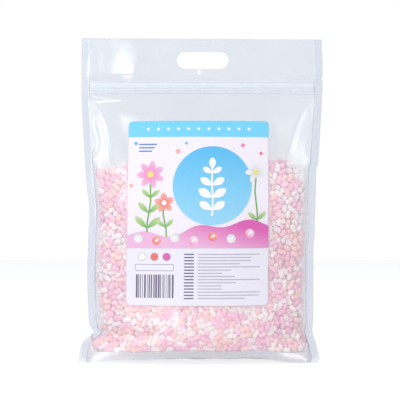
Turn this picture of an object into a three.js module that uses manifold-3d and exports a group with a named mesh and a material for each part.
// A filled stand-up pouch of paper bedding: two film panels, a folded bottom web, a press-to-close
// zip, a front sticker and the heap of paper pellets that the film shows.
// Millimetres. +X to the right, +Y to the back, +Z up, standing on z = 0.

import * as THREE from "three";
import { mergeVertices } from "three/addons/utils/BufferGeometryUtils.js";
import Module from "manifold-3d";

const wasm = await Module();
wasm.setup();

// Pouch as it stands
const flatWidth = 241; // across the pouch when it is laid flat
const standHeight = 324; // top edge above the surface
const filmThickness = 0.15;
const clearance = 0.3; // gap left between pieces that touch
const sideSeal = 8; // width of each heat-sealed side band

// Header above the zip
const headerSeal = 35; // height of the sealed band at the top
const holeWidth = 52; // hand hole, a slot with round ends
const holeHeight = 17;
const holeDrop = 22; // top edge down to the middle of the hand hole
const notchDrop = 40; // top edge down to the tear notches
const notchDepth = 2;
const notchHeight = 2.4;

// Zip
const zipDrop = 49; // top edge down to the middle of the zip
const zipBand = 12; // height of the zip's flanges
const flangeThickness = 0.3;
const ribStem = 0.8; // thickness of the rib's stem
const ribHead = 1.8; // height of the rib's head
const ribReach = 2.1; // how far the rib stands out of its flange
const headLength = 0.8; // from the back of the head to its tip
const jawWall = 0.5; // wall of the channel
const lipLength = 0.6; // depth of the channel's lips
const zipEndRoom = 4; // from a side seal to the end of the zip
const zipEase = 6; // height over which the film straightens towards the zip
const endCrease = 0.93; // share of the way to the side seals where the film starts to close

// Side profile, as half depths of the pouch at its middle
const skirtHalfDepth = 36; // at the bottom edge
const baseHalfDepth = 41; // where the bottom web's fold meets the side seals
const bellyHalfDepth = 34.5;
const shoulderHalfDepth = 25.5; // at the top of the heap
const neckHalfDepth = 13;
const foldHeight = 30; // where the bottom web's fold meets the side seals
const waistHeight = 80; // where the base has narrowed to the belly
const taperLength = 120; // from the zip down to the full belly
const neckLength = 22; // from the zip down to the neck

// How square the pouch's section is, as a power of two: 1 is a plain arc
const bellySquareness = 1;
const neckSquareness = 2;
const zipSquareness = 7.6; // the zip holds the film nearly straight

// Legs: below the fold the panels part at their side edges
const legHalfGap = 17; // half the distance between the two corners at the bottom
const skirtLift = 4.5; // how far the bottom edge arches up at its middle
const legJoin = 2; // over this height about the fold the legs close, and the web stays below it

// Bottom web
const bottomSeal = 10; // height of the sealed band along each skirt
const webTrim = 1; // the web's edge stops this far above the skirt's edge
const webRest = 58; // half length of the stretch that lies on the surface
const webSag = 24; // half width of that stretch
const webRestLimit = 0.75; // most of its half width that may lie flat
const webSlope = 1.7; // how late the web rises to its flanges, as a power
const keelSlope = 1.6; // how late its lowest line rises to the fold's ends, as a power
const flangeSlope = 14; // how late the flange turns up into the side seals, as a power

// Sticker
const labelWidth = 137; // as it shows from the front, across the curve
const labelHeight = 185;
const labelBottom = 57; // above the surface
const labelShift = -2.5; // off the pouch's middle
const labelThickness = 0.2;
const labelCorner = 4.5;
const labelMargin = 1; // the sheet is this much wider all round before its outline is cut

// Heap of pellets
const headspace = 79; // from the zip down to the heap at the side seals
const heapCrown = 7; // how much higher the heap is at its middle
const heapEdge = 1.3; // half depth of the heap where it thins out at the seals
const pelletRadius = 2.85;
const shortPellet = 7.5;
const longPellet = 11;
const heapClearance = 0.5; // from the film to the heap and the loose pellets
const pelletPitch = 13; // from one loose pellet to the next along the heap
const pelletTurn = 0.16; // most that a loose pellet turns off the pouch's length, in radians
const pelletColumns = 9;
const pelletRows = 3;
const heapShoulder = 4; // no row of the heap lies nearer than this under its top edge

// Places worked out from the sizes above
const zipHeight = standHeight - zipDrop;
const zipBottom = zipHeight - zipBand / 2;
const zipTop = zipHeight + zipBand / 2;
const headerBottom = standHeight - headerSeal;
const innerHalfWidth = flatWidth / 2 - sideSeal;
const sealHalfGap = (filmThickness + clearance) / 2;
const zipDepth = 2 * flangeThickness + ribReach + clearance;
const zipHalfDepth = zipDepth / 2 + clearance + filmThickness / 2;
const sealedShare = innerHalfWidth / (flatWidth / 2);
const filmPitch = filmThickness + clearance; // from one film's middle to the next one's
const foldTop = foldHeight - legJoin; // the web's fold, where the panels leave it room
const heapFloorGap = 1.5 * clearance; // from the web to the heap, and from the heap to what lies on it

// A smooth curve through [place, value] points that never overshoots them.
function smoothProfile(points) {
  const count = points.length;
  const slopes = [];
  for (let i = 0; i < count - 1; i++) {
    slopes.push((points[i + 1][1] - points[i][1]) / (points[i + 1][0] - points[i][0]));
  }
  const tangents = points.map((point, i) => {
    if (i === 0) return slopes[0];
    if (i === count - 1) return slopes[count - 2];
    const before = slopes[i - 1];
    const after = slopes[i];
    return before * after <= 0 ? 0 : (2 * before * after) / (before + after);
  });
  return (place) => {
    if (place <= points[0][0]) return points[0][1];
    if (place >= points[count - 1][0]) return points[count - 1][1];
    const i = points.findIndex((point, k) => k < count - 1 && place < points[k + 1][0]);
    const span = points[i + 1][0] - points[i][0];
    const t = (place - points[i][0]) / span;
    const u = 1 - t;
    return (
      points[i][1] * u * u * (1 + 2 * t) +
      points[i + 1][1] * t * t * (1 + 2 * u) +
      span * t * u * (tangents[i] * u - tangents[i + 1] * t)
    );
  };
}

const halfDepth = smoothProfile([
  [0, skirtHalfDepth],
  [foldHeight, baseHalfDepth],
  [waistHeight, bellyHalfDepth],
  [zipBottom - taperLength, bellyHalfDepth],
  [zipHeight - headspace, shoulderHalfDepth],
  [zipBottom - neckLength, neckHalfDepth],
  [zipBottom, zipHalfDepth],
  [zipTop, zipHalfDepth],
  [headerBottom, sealHalfGap],
  [standHeight, sealHalfGap],
]);

// Half the gap between the panels at their side edges.
const edgeHalfGap = smoothProfile([
  [0, legHalfGap],
  [foldHeight + legJoin, sealHalfGap],
  [standHeight, sealHalfGap],
]);

const archLift = smoothProfile([
  [0, skirtLift],
  [foldHeight, 0],
  [standHeight, 0],
]);

const squareness = smoothProfile([
  [0, bellySquareness],
  [zipBottom - neckLength, bellySquareness],
  [zipBottom - zipEase, neckSquareness],
  [zipBottom, zipSquareness],
  [standHeight, zipSquareness],
]);

const chordSteps = 8; // enough for the chord to settle

// Half the distance between the side seals: film that bulges out draws its sides in, because
// its length across stays what it was when flat.
function halfChord(height) {
  const sag = halfDepth(height) - edgeHalfGap(height);
  let chord = innerHalfWidth;
  for (let step = 0; step < chordSteps; step++) {
    chord = innerHalfWidth / (1 + (2 / 3) * (sag / chord) ** 2);
  }
  return chord;
}

// A point of the front panel's middle surface. across runs from -1 to 1 over the flat width.
function panelPoint(across, height) {
  const share = Math.min(Math.abs(across) / sealedShare, 1);
  const sealPart = Math.max(Math.abs(across) - sealedShare, 0) * (flatWidth / 2);
  const edge = edgeHalfGap(height);
  const bulge = (halfDepth(height) - edge) * (1 - share ** (2 ** squareness(height)));
  return new THREE.Vector3(
    Math.sign(across) * (halfChord(height) * share + sealPart),
    -(edge + bulge),
    height + archLift(height) * (1 - across ** 2),
  );
}

// Evenly spaced values from low to high, both ends included.
function spread(low, high, steps) {
  return Array.from({ length: steps + 1 }, (_, i) => low + ((high - low) * i) / steps);
}

// Joins runs of values and drops those that lie nearer than least to the one before.
function mergeStops(values, least) {
  const sorted = [...values].sort((a, b) => a - b);
  return sorted.filter((value, i) => i === 0 || value - sorted[i - 1] > least);
}

// The unit normals of a grid of points, rows by columns.
function gridNormals(grid) {
  const rows = grid.length;
  const columns = grid[0].length;
  return grid.map((row, r) =>
    row.map((_, c) => {
      const along = grid[r][Math.min(c + 1, columns - 1)].clone();
      along.sub(grid[r][Math.max(c - 1, 0)]);
      const up = grid[Math.min(r + 1, rows - 1)][c].clone();
      up.sub(grid[Math.max(r - 1, 0)][c]);
      return along.cross(up).normalize();
    }),
  );
}

function offsetGrid(grid, distance) {
  const normals = gridNormals(grid);
  return grid.map((row, r) =>
    row.map((point, c) => point.clone().addScaledVector(normals[r][c], distance)),
  );
}

// A closed body between two grids of the same size: front faces out on its own side.
function bodyBetween(front, back) {
  const rows = front.length;
  const columns = front[0].length;
  const positions = [...front.flat(), ...back.flat()].flatMap((p) => [p.x, p.y, p.z]);
  const frontAt = (r, c) => r * columns + c;
  const backAt = (r, c) => rows * columns + r * columns + c;
  const faces = [];
  const quad = (a, b, c, d) => faces.push(a, b, c, a, c, d);
  for (let r = 0; r < rows - 1; r++) {
    for (let c = 0; c < columns - 1; c++) {
      quad(frontAt(r, c), frontAt(r, c + 1), frontAt(r + 1, c + 1), frontAt(r + 1, c));
      quad(backAt(r, c), backAt(r + 1, c), backAt(r + 1, c + 1), backAt(r, c + 1));
    }
  }
  const last = columns - 1;
  const top = rows - 1;
  for (let c = 0; c < last; c++) {
    quad(backAt(0, c), backAt(0, c + 1), frontAt(0, c + 1), frontAt(0, c));
    quad(frontAt(top, c), frontAt(top, c + 1), backAt(top, c + 1), backAt(top, c));
  }
  for (let r = 0; r < top; r++) {
    quad(backAt(r, 0), frontAt(r, 0), frontAt(r + 1, 0), backAt(r + 1, 0));
    quad(frontAt(r, last), backAt(r, last), backAt(r + 1, last), frontAt(r + 1, last));
  }
  const geometry = new THREE.BufferGeometry();
  geometry.setAttribute("position", new THREE.Float32BufferAttribute(positions, 3));
  geometry.setIndex(faces);
  return geometry;
}

// A thin sheet of even thickness around a grid of points.
function shell(grid, thickness) {
  return bodyBetween(offsetGrid(grid, thickness / 2), offsetGrid(grid, -thickness / 2));
}

const weldDistance = 1e-4;

function toSolid(geometry) {
  const plain = geometry.index ? geometry.toNonIndexed() : geometry.clone();
  plain.deleteAttribute("normal");
  plain.deleteAttribute("uv");
  const merged = mergeVertices(plain, weldDistance);
  return new wasm.Manifold(
    new wasm.Mesh({
      numProp: 3,
      vertProperties: merged.attributes.position.array,
      triVerts: new Uint32Array(merged.index.array),
    }),
  );
}

function toGeometry(solid) {
  const mesh = solid.getMesh();
  const geometry = new THREE.BufferGeometry();
  geometry.setAttribute("position", new THREE.Float32BufferAttribute(mesh.vertProperties, 3));
  geometry.setIndex(new THREE.Uint32BufferAttribute(mesh.triVerts, 1));
  return geometry;
}

// An outline in X and Z, carried through the whole pouch from front to back.
function throughCut(shape, curveSegments) {
  const depth = 4 * baseHalfDepth; // well past both panels
  const geometry = new THREE.ExtrudeGeometry(shape, { depth, bevelEnabled: false, curveSegments });
  geometry.rotateX(Math.PI / 2);
  geometry.translate(0, depth / 2, 0);
  return toSolid(geometry);
}

function roundedRectangle(centreX, centreZ, width, height, corner) {
  const shape = new THREE.Shape();
  const left = centreX - width / 2;
  const right = centreX + width / 2;
  const low = centreZ - height / 2;
  const high = centreZ + height / 2;
  shape.moveTo(left + corner, low);
  shape.lineTo(right - corner, low);
  shape.absarc(right - corner, low + corner, corner, -Math.PI / 2, 0);
  shape.lineTo(right, high - corner);
  shape.absarc(right - corner, high - corner, corner, 0, Math.PI / 2);
  shape.lineTo(left + corner, high);
  shape.absarc(left + corner, high - corner, corner, Math.PI / 2, Math.PI);
  shape.lineTo(left, low + corner);
  shape.absarc(left + corner, low + corner, corner, Math.PI, 1.5 * Math.PI);
  return shape;
}

function handHole() {
  const middle = standHeight - holeDrop;
  const corner = holeHeight / 2 - 0.01; // a hair short, so that the ends keep a straight stretch
  return throughCut(roundedRectangle(0, middle, holeWidth, holeHeight, corner), 5);
}

function tearNotch(side) {
  const outline = new THREE.Shape();
  const edge = flatWidth / 2;
  const middle = standHeight - notchDrop;
  outline.moveTo(side * (edge - notchDepth), middle);
  outline.lineTo(side * (edge + notchDepth), middle - notchHeight);
  outline.lineTo(side * (edge + notchDepth), middle + notchHeight);
  outline.closePath();
  return throughCut(outline, 1);
}

// Film panels
const zipEndShare = zipEndRoom / innerHalfWidth;
const creaseStops = [endCrease, 1 - zipEndShare, 1 - zipEndShare / 2];
const panelColumns = mergeStops(
  [
    ...spread(-sealedShare, sealedShare, 20),
    ...creaseStops.map((share) => share * sealedShare),
    ...creaseStops.map((share) => -share * sealedShare),
    -1,
    1,
  ],
  0.001,
);
const panelRows = mergeStops(
  [
    ...spread(filmThickness / 2, foldHeight, 6),
    ...spread(foldHeight, waistHeight, 4),
    ...spread(waistHeight, zipBottom - taperLength, 3),
    ...spread(zipBottom - taperLength, zipBottom - neckLength, 7),
    ...spread(zipBottom - neckLength, zipBottom, 5),
    ...spread(zipTop, headerBottom, 2),
    standHeight,
  ],
  1,
);

function panel(side) {
  const grid = panelRows.map((height) =>
    panelColumns.map((across) => panelPoint(across, height)),
  );
  let solid = toSolid(shell(grid, filmThickness));
  for (const cut of [handHole(), tearNotch(-1), tearNotch(1)]) {
    solid = solid.subtract(cut);
  }
  return facing(toGeometry(solid), side);
}

// Turns a front piece about the vertical axis to make the back one.
function facing(geometry, side) {
  return side < 0 ? geometry : geometry.rotateZ(Math.PI);
}

// Bottom web

// Top of the sealed flange: along the skirt, and up the side seals to the fold.
function flangeTop(across) {
  const share = Math.min(Math.abs(across) / sealedShare, 1);
  return bottomSeal + (foldTop - bottomSeal) * share ** flangeSlope;
}

// Height of the web's lowest line: it lies on the surface, then runs up to the fold's ends.
function keelHeight(x, end, endHeight) {
  const run = Math.max((Math.abs(x) - webRest) / (end - webRest), 0);
  return (endHeight - filmThickness / 2) * run ** keelSlope + filmThickness / 2;
}

const flangeSteps = 6;
const webSteps = 12;

// The flange that is sealed behind the front skirt, row by row upwards.
function flangeGrid() {
  const sealed = spread(0, 1, flangeSteps).map((rise) =>
    panelColumns.map((across) =>
      panelPoint(across, webTrim + rise * (flangeTop(across) - webTrim)),
    ),
  );
  return offsetGrid(sealed, -filmPitch);
}

// The web's middle surface at one column, from the front skirt's edge to the back one's.
function webColumn(across, flange) {
  const shoulder = flange[flangeSteps];
  const foldEnd = panelPoint(sealedShare, foldTop);
  const keel = Math.min(
    keelHeight(shoulder.x, foldEnd.x, foldEnd.z),
    shoulder.z + filmThickness,
  );
  const reach = -shoulder.y;
  const flat = Math.min(webSag / reach, webRestLimit);
  const web = spread(-1, 1, webSteps).slice(1, -1).map((share) => {
    const rise = Math.max((Math.abs(share) - flat) / (1 - flat), 0) ** webSlope;
    return new THREE.Vector3(shoulder.x, share * reach, keel + (shoulder.z - keel) * rise);
  });
  const backFlange = flange.map((p) => new THREE.Vector3(p.x, -p.y, p.z)).reverse();
  return [...flange, ...web, ...backFlange];
}

function webGrid() {
  const flanges = flangeGrid();
  const columns = panelColumns.map((across, c) => webColumn(across, flanges.map((row) => row[c])));
  return columns[0].map((_, r) => columns.map((column) => column[r]));
}

function bottomWeb() {
  return shell(webGrid(), filmThickness);
}

// Zip: profiles drawn with x as depth behind the front flange and y as height, run along X
function zipTrack(outline) {
  const shape = new THREE.Shape(outline.map(([depth, rise]) => new THREE.Vector2(depth, rise)));
  const length = 2 * (halfChord(zipHeight) - zipEndRoom);
  const geometry = new THREE.ExtrudeGeometry(shape, { depth: length, bevelEnabled: false });
  geometry.applyMatrix4(
    new THREE.Matrix4().makeBasis(
      new THREE.Vector3(0, 1, 0),
      new THREE.Vector3(0, 0, 1),
      new THREE.Vector3(1, 0, 0),
    ),
  );
  geometry.translate(-length / 2, -zipDepth / 2, zipHeight);
  return geometry;
}

const headBack = flangeThickness + ribReach - headLength;

function ribTrack() {
  const half = [
    [0, zipBand / 2],
    [flangeThickness, zipBand / 2],
    [flangeThickness, ribStem / 2],
    [headBack, ribStem / 2],
    [headBack, ribHead / 2],
    [flangeThickness + ribReach, ribStem / 4],
  ];
  return zipTrack([...half.map(([x, y]) => [x, -y]), ...[...half].reverse()]);
}

function channelTrack() {
  const floor = zipDepth - flangeThickness;
  const jawInner = ribHead / 2 + clearance;
  const lipInner = ribStem / 2 + clearance;
  const lipBack = headBack - clearance;
  const lipFront = lipBack - lipLength;
  const half = [
    [floor, jawInner],
    [lipBack, jawInner],
    [lipBack, lipInner],
    [lipFront, lipInner + lipLength / 3],
    [lipFront, jawInner + jawWall],
    [floor, jawInner + jawWall],
    [floor, zipBand / 2],
    [zipDepth, zipBand / 2],
  ];
  return zipTrack([...half, ...[...half].reverse().map(([x, y]) => [x, -y])].reverse());
}

// Sticker: follows the front panel, then its corners are rounded
function frontLabel() {
  const acrossPerX = sealedShare / halfChord(labelBottom);
  const middle = labelShift * acrossPerX;
  const reach = (labelWidth / 2 + labelMargin) * acrossPerX;
  const columns = mergeStops(
    [...panelColumns.filter((s) => Math.abs(s - middle) < reach), middle - reach, middle + reach],
    0.005,
  );
  const low = labelBottom - labelMargin;
  const high = labelBottom + labelHeight + labelMargin;
  const rows = mergeStops([...panelRows.filter((z) => z > low && z < high), low, high], 1);
  const grid = rows.map((height) => columns.map((across) => panelPoint(across, height)));
  const stand = filmThickness / 2 + clearance + labelThickness / 2;
  const sheet = toSolid(shell(offsetGrid(grid, stand), labelThickness));
  const outline = roundedRectangle(
    labelShift,
    labelBottom + labelHeight / 2,
    labelWidth,
    labelHeight,
    labelCorner,
  );
  return toGeometry(sheet.intersect(throughCut(outline, 4)));
}

// Heap of pellets
function heapTop(across) {
  const share = Math.min(Math.abs(across) / sealedShare, 1);
  return zipHeight - headspace + heapCrown * (1 - share ** 2);
}

// Half the depth that the film leaves free inside, at one place across.
function innerHalfDepth(across, height) {
  return -panelPoint(across, height).y - filmThickness / 2 - heapClearance;
}

// How far across the heap reaches before the film closes on it.
function heapReach(height) {
  let low = 0;
  let high = sealedShare;
  for (let step = 0; step < 30; step++) {
    const middle = (low + high) / 2;
    if (innerHalfDepth(middle, height) > heapEdge) low = middle;
    else high = middle;
  }
  return low;
}

function pelletHeap() {
  const columns = spread(-1, 1, 20);
  const underTop = panelRows.filter((height) => height < heapTop(1) - heapShoulder);
  const rows = [...underTop, standHeight];
  const front = rows.map((row) =>
    columns.map((share) => {
      const reach = heapReach(Math.min(row, heapTop(share * sealedShare)));
      const across = share * reach;
      const height = Math.min(row, heapTop(across));
      const point = panelPoint(across, height);
      return point.setY(-innerHalfDepth(across, height));
    }),
  );
  const back = front.map((row) => row.map((p) => new THREE.Vector3(p.x, -p.y, p.z)));
  const filled = toSolid(bodyBetween(front, back));
  return toGeometry(filled.intersect(aboveWeb()));
}

// Everything over the bottom web, as a block cut by it.
function aboveWeb() {
  const above = offsetGrid(webGrid(), filmThickness / 2 + heapFloorGap);
  const first = flangeSteps;
  const last = above.length - flangeSteps;
  const floor = above.slice(first, last);
  const wide = 2 * baseHalfDepth; // past both panels, as its top is past the header
  const outward = (row, y) => row.map((p) => new THREE.Vector3(p.x, y, p.z));
  const bottom = [outward(floor[0], -wide), ...floor, outward(floor[floor.length - 1], wide)];
  const ceiling = bottom.map((row) =>
    row.map((p) => new THREE.Vector3(p.x, p.y, 2 * standHeight)),
  );
  return toSolid(bodyBetween(ceiling, bottom));
}

// Loose pellets that lie on the heap, in rows from front to back
function loosePellet(column, row) {
  const across = ((column - (pelletColumns - 1) / 2) * pelletPitch) / (flatWidth / 2);
  const turn = pelletTurn * Math.sin(5 * column + 3 * row); // uneven, but the same each time
  const blend = (1 + Math.sin(7 * column + 2 * row)) / 2;
  const length = shortPellet + (longPellet - shortPellet) * blend;
  const radius = pelletRadius;
  const rest = heapTop(across);
  const outerEnd = Math.abs(across) + longPellet / 2 / (flatWidth / 2);
  const room = innerHalfDepth(outerEnd, rest + 2 * radius) - radius - clearance;
  const overhang = (longPellet / 2) * Math.sin(pelletTurn);
  const offset = (row - (pelletRows - 1) / 2) / ((pelletRows - 1) / 2);
  const geometry = new THREE.CylinderGeometry(radius, radius, length, 10);
  geometry.rotateZ(Math.PI / 2);
  geometry.rotateZ(turn);
  const step = 0.002; // a short stretch across, to read the heap's slope
  const slope =
    (heapTop(across + step) - heapTop(across - step)) /
    (panelPoint(across + step, rest).x - panelPoint(across - step, rest).x);
  geometry.rotateY(-Math.atan(slope));
  geometry.translate(
    panelPoint(across, rest).x,
    offset * (room - overhang),
    rest + radius + heapFloorGap,
  );
  return geometry;
}

const film = { color: 0xdfe4ea, roughness: 0.35, metalness: 0 };
const webFilm = { color: 0xdcdde2, roughness: 0.4, metalness: 0 };
const zipPlastic = { color: 0xe9edf3, roughness: 0.3, metalness: 0 };
const printedPaper = { color: 0xe6dff2, roughness: 0.45, metalness: 0 };
const mixedPaper = { color: 0xefd3d8, roughness: 0.95, metalness: 0 };
const whitePaper = { color: 0xece9e8, roughness: 0.95, metalness: 0 };
const pinkPaper = { color: 0xf5bfd8, roughness: 0.95, metalness: 0 };
const peachPaper = { color: 0xfad5d0, roughness: 0.95, metalness: 0 };

const pouch = new THREE.Group();

function addPiece(name, geometry, finish) {
  const mesh = new THREE.Mesh(geometry, new THREE.MeshStandardMaterial(finish));
  mesh.name = name;
  geometry.computeVertexNormals();
  pouch.add(mesh);
}

addPiece("front_panel", panel(-1), film);
addPiece("back_panel", panel(1), film);
addPiece("bottom_gusset", bottomWeb(), webFilm);
addPiece("zip_track_front", ribTrack(), zipPlastic);
addPiece("zip_track_back", channelTrack(), zipPlastic);
addPiece("front_label", frontLabel(), printedPaper);
addPiece("pellet_heap", pelletHeap(), mixedPaper);

const pelletPapers = [whitePaper, pinkPaper, peachPaper];
for (let row = 0; row < pelletRows; row++) {
  for (let column = 0; column < pelletColumns; column++) {
    const number = String(row * pelletColumns + column + 1).padStart(2, "0");
    const paper = pelletPapers[(2 * column + row) % pelletPapers.length];
    addPiece("pellet_" + number, loosePellet(column, row), paper);
  }
}

export default pouch;
